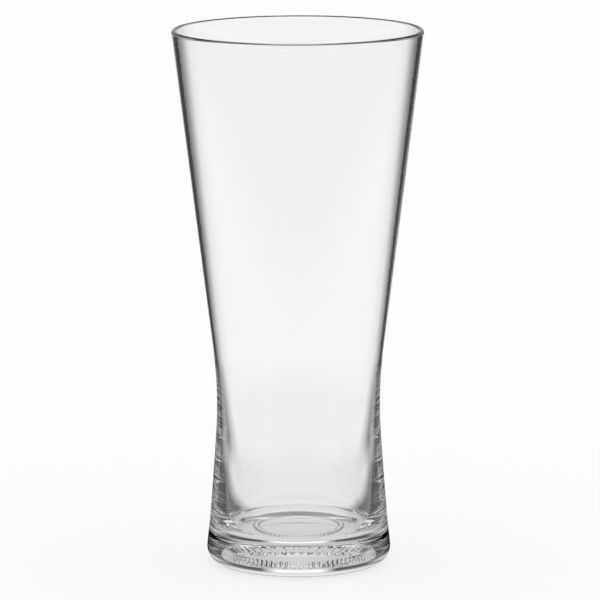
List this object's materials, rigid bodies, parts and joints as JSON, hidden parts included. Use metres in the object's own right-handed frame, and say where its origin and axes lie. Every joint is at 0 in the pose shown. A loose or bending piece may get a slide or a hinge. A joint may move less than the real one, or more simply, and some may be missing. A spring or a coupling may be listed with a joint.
{
  "type": "plastic beer glass",
  "caption": "Tall clear plastic beer glass with a tapered body, a low waist and a flared solid foot; it holds a drink and stands on its flat base.",
  "frame": {"origin": "on the glass's axis, in the plane that the foot rests on", "axes": "+Z along the axis towards the rim; X and Y are free, because the glass is round"},
  "size_m": [0.08, 0.08, 0.1715],
  "materials": {
    "clear_plastic": "clear, polished, injection moulded"
  },
  "bodies": {
    "root": {"beer_glass": "clear_plastic"}
  },
  "joints": []
}
